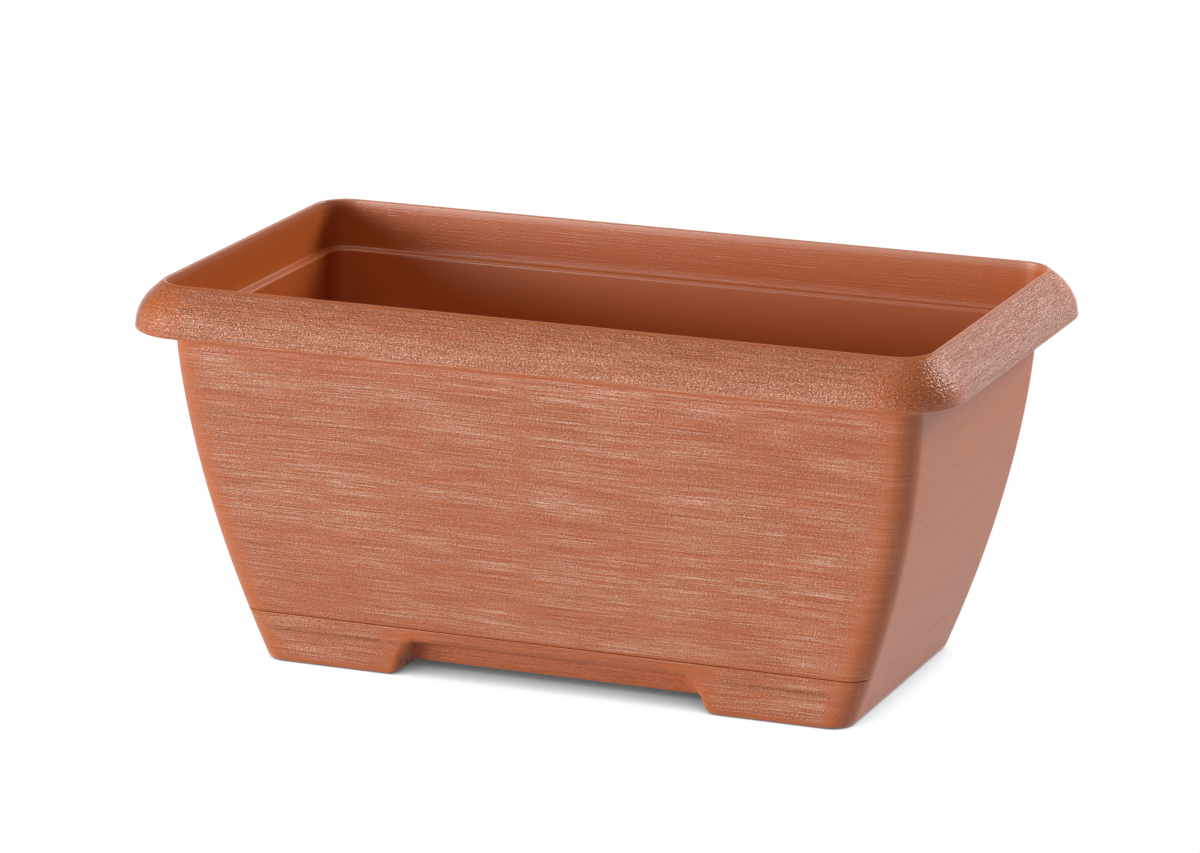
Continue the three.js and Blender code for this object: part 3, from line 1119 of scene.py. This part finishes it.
dents = nodes.new("ShaderNodeTexNoise")
dents.inputs["Scale"].default_value = DENT_SCALE
dents.inputs["Detail"].default_value = 0
feed(nodes.new("ShaderNodeTexCoord").outputs["Object"], dents, "Vector")
chatter = laid_noise(3.2, 0.8, 1)
height = times(plus(line, thread, times(speckle, 1.2)), brush)
rim_height = plus(times(dents, 2.0), times(chatter, 0.4), times(groove, brush, -1.0))
relief = nodes.new("ShaderNodeBump")
relief.inputs["Distance"].default_value = BUMP_DEPTH
feed(plus(height, times(rim_height, hammer)), relief, "Height")
feed(relief, shader, "Normal")
rough = plus(PLAIN_ROUGH, times(number_of("worked"), WORKED_ROUGH), times(hammer, RIM_GLOSS))
feed(rough, shader, "Roughness")
print("the whole finish takes", len(nodes), "nodes")

# %% [markdown]
# ## Two bodies
#
# On the real planter the box lifts off and the saucer stays. Each skin rides on the body of
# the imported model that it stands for, and takes that node's place in every picture, while
# the node stays behind for collisions.

# %% Set both skins on their bodies
for piece, body in ((box, "planter_box"), (saucer, "saucer")):
    piece.data.materials.append(finish)
    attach(piece, body)
    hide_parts(body)
    print(piece.name, "rides on", body)

# %% [markdown]
# ## The studio
#
# In the photograph the ground and the background are one plain white, and the shadow is
# short and lies close to the feet. A white floor under strong lamps would get there too, but
# it would throw their light up at the planter. So the sweep is a light grey card to the light
# that falls on the planter, while the camera and shiny surfaces see it glow an even white,
# shaded only where something shelters it from close by.

# %% The world, dim to the planter and white to the camera
DIM, WHITE = 0.02, 1.0


def seen_or_plain(tree, plain, shown, *rays):
    """Shows one shader to some kinds of ray, and lights the planter with the other."""
    path = tree.nodes.new("ShaderNodeLightPath")
    seen = path.outputs[rays[0]]
    for ray in rays[1:]:
        either = tree.nodes.new("ShaderNodeMath")
        either.operation = "MAXIMUM"
        tree.links.new(seen, either.inputs[0])
        tree.links.new(path.outputs[ray], either.inputs[1])
        seen = either.outputs[0]
    blend = tree.nodes.new("ShaderNodeMixShader")
    tree.links.new(seen, blend.inputs[0])
    tree.links.new(plain.outputs[0], blend.inputs[1])
    tree.links.new(shown.outputs[0], blend.inputs[2])
    return blend.outputs[0]


world = bpy.context.scene.world or bpy.data.worlds.new("studio")
bpy.context.scene.world = world
world.use_nodes = True
tree = world.node_tree
dim, bright = tree.nodes["Background"], tree.nodes.new("ShaderNodeBackground")
for background, strength in ((dim, DIM), (bright, WHITE)):
    background.inputs["Color"].default_value = (1, 1, 1, 1)
    background.inputs["Strength"].default_value = strength
surface = seen_or_plain(tree, dim, bright, "Is Camera Ray")
tree.links.new(surface, tree.nodes["World Output"].inputs["Surface"])
bpy.context.scene.view_settings.view_transform = "Standard"
print("the world lights the planter at", DIM, "and shows at", WHITE)

# %% The sweep
FLOOR_SPAN, GROUND = 12.0, -0.0001  # a hair under the soles, so that no two faces coincide
BACKDROP_Y, COVE, BACKDROP_HEIGHT = 3.5, 1.0, 2.6


def sweep_mesh():
    """The floor, the cove behind it and the backdrop, as one sheet."""
    profile = [(-FLOOR_SPAN / 2, GROUND)]
    for turn in arc_steps(12):
        profile.append((BACKDROP_Y + COVE * math.sin(turn), GROUND + COVE * (1 - math.cos(turn))))
    profile.append((BACKDROP_Y + COVE, BACKDROP_HEIGHT))
    points = [(x, y, z) for y, z in profile for x in (-FLOOR_SPAN / 2, FLOOR_SPAN / 2)]
    faces = [(2 * i, 2 * i + 1, 2 * i + 3, 2 * i + 2) for i in range(len(profile) - 1)]
    mesh = bpy.data.meshes.new("studio_sweep")
    mesh.from_pydata(points, [], faces)
    mesh.shade_smooth()
    return mesh


floor = bpy.data.objects.new("studio_sweep", sweep_mesh())
bpy.context.scene.collection.objects.link(floor)
print("the sweep has", len(floor.data.polygons), "faces")

# %% Its white
CARD_GREY, CARD_ROUGH = 0.70, 0.9
SHELTER_REACH = 0.04  # how near something shelters the floor, in metres
SHADE_RANGE, DEEPEST = (0.02, 0.45), 0.04  # how open the floor is when darkest and plain

studio_white = bpy.data.materials.new("studio_white")
studio_white.use_nodes = True
tree = studio_white.node_tree
card = tree.nodes["Principled BSDF"]
card.inputs["Base Color"].default_value = (CARD_GREY, CARD_GREY, CARD_GREY, 1)
card.inputs["Roughness"].default_value = CARD_ROUGH
shelter = tree.nodes.new("ShaderNodeAmbientOcclusion")
shelter.inputs["Distance"].default_value = SHELTER_REACH
shade = tree.nodes.new("ShaderNodeMapRange")
shade.inputs["From Min"].default_value, shade.inputs["From Max"].default_value = SHADE_RANGE
shade.inputs["To Min"].default_value = DEEPEST
glow = tree.nodes.new("ShaderNodeEmission")
tree.links.new(shelter.outputs["AO"], shade.inputs["Value"])
tree.links.new(shade.outputs[0], glow.inputs["Strength"])
surface = seen_or_plain(tree, card, glow, "Is Camera Ray", "Is Glossy Ray", "Is Transmission Ray")
tree.links.new(surface, tree.nodes["Material Output"].inputs["Surface"])
floor.data.materials.append(studio_white)
print("the sweep is shaded within", round(SHELTER_REACH / MM), "mm of the planter")

# %% [markdown]
# ## Lamps
#
# A wide, low soft box at the front left lights the long face. One behind on the right lights
# the right end, glances off the rim and reaches in through the mouth. A weak one nearly
# overhead lights what looks up. A single lamp would be simpler, but on the real planter the
# near corner sits dark between two lit faces, and only lamps on both sides of it leave it so.


# %% Three soft boxes
def soft_box(name, turn, lift, width, height, level, distance=2.6):
    """A lamp facing the planter, turned round it from +X and lifted, in degrees.

    Its level is what a white card facing it would show.
    """
    lamp = bpy.data.lights.new(name, "AREA")
    lamp.shape = "RECTANGLE"
    lamp.size, lamp.size_y = width, height
    lamp.energy = level * math.pi**2 * distance**2
    holder = bpy.data.objects.new(name, lamp)
    turn, lift = math.radians(turn), math.radians(lift)
    way = Vector((math.cos(turn) * math.cos(lift), math.sin(turn) * math.cos(lift), math.sin(lift)))
    holder.location = way * distance + Vector((0, 0, HEIGHT / 2 * MM))
    holder.rotation_euler = way.to_track_quat("Z", "Y").to_euler()
    bpy.context.scene.collection.objects.link(holder)
    print(name, "energy", round(lamp.energy, 1), "W")


soft_box("front_left_soft_box", -131, 8.5, width=3.1, height=0.92, level=0.92, distance=4.0)
soft_box("back_right_soft_box", 46, 32, width=1.5, height=0.9, level=0.80)
soft_box("high_left_soft_box", -140, 76, width=2.4, height=2.4, level=0.44)

# %% [markdown]
# ## The camera
#
# The planter's edges in the photograph fix where the camera stood: about 2.6 metres away,
# 22 degrees round to the right and 15 degrees up, with a long lens. It could be set by eye,
# but only a fit of those edges puts the rim and both feet in place at once.

# %% Set up the camera
SENSOR, LENS = 36, 168.45
CAMERA_PLACE, CAMERA_AIM = (0.9449, -2.3310, 0.7927), (-0.00417, 0, 0.1085)

camera = bpy.data.objects.new("camera", bpy.data.cameras.new("camera"))
camera.data.sensor_width = SENSOR
camera.data.lens = LENS
camera.location = CAMERA_PLACE
aim = Vector(CAMERA_AIM) - camera.location
camera.rotation_euler = aim.to_track_quat("-Z", "Y").to_euler()
bpy.context.scene.collection.objects.link(camera)
bpy.context.scene.camera = camera
print("camera distance", round(aim.length, 3), "m")
